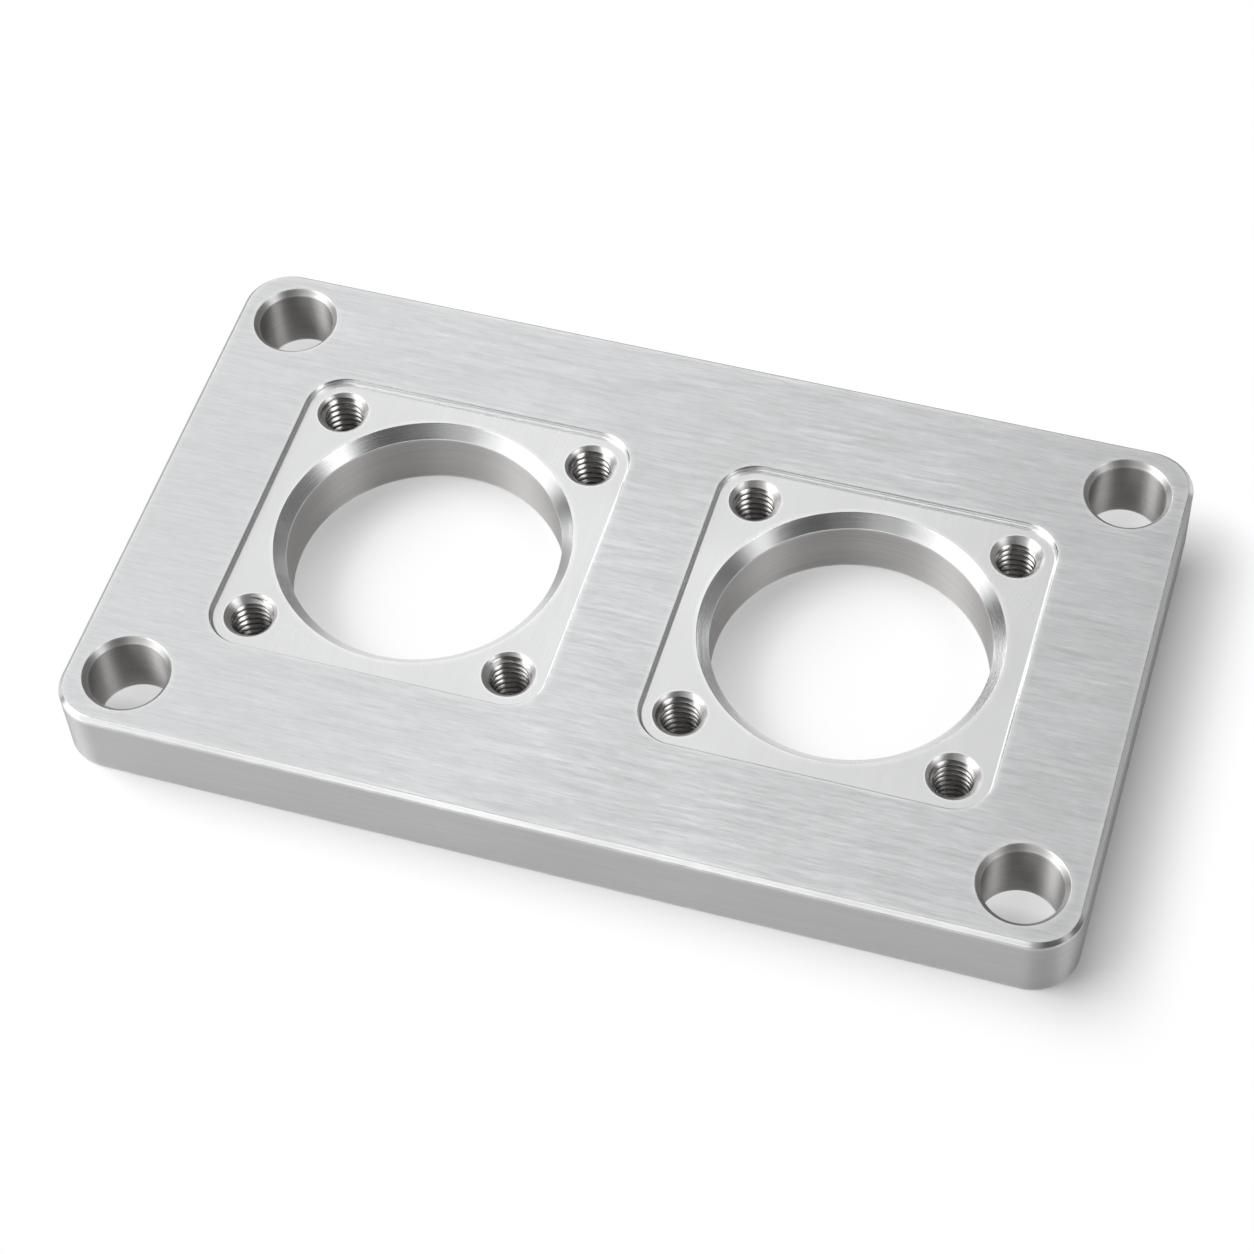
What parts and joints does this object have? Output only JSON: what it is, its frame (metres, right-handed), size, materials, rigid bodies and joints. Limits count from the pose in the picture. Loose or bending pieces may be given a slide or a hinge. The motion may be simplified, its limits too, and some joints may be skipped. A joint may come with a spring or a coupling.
{
  "type": "connector panel",
  "caption": "Thick rectangular plate with shallow square seats side by side, each with a large chamfered through bore and tapped holes, and plain chamfered holes in its rounded corners.",
  "frame": {"origin": "centre of the flat back face", "axes": "+X along the plate's length, +Y across its width, +Z out of the machined face with the pockets"},
  "size_m": [0.17, 0.1, 0.0135],
  "materials": {
    "panel": "satin, top face brushed along its length, pockets and bores fine machined"
  },
  "bodies": {
    "root": {"panel": "panel"}
  },
  "joints": []
}
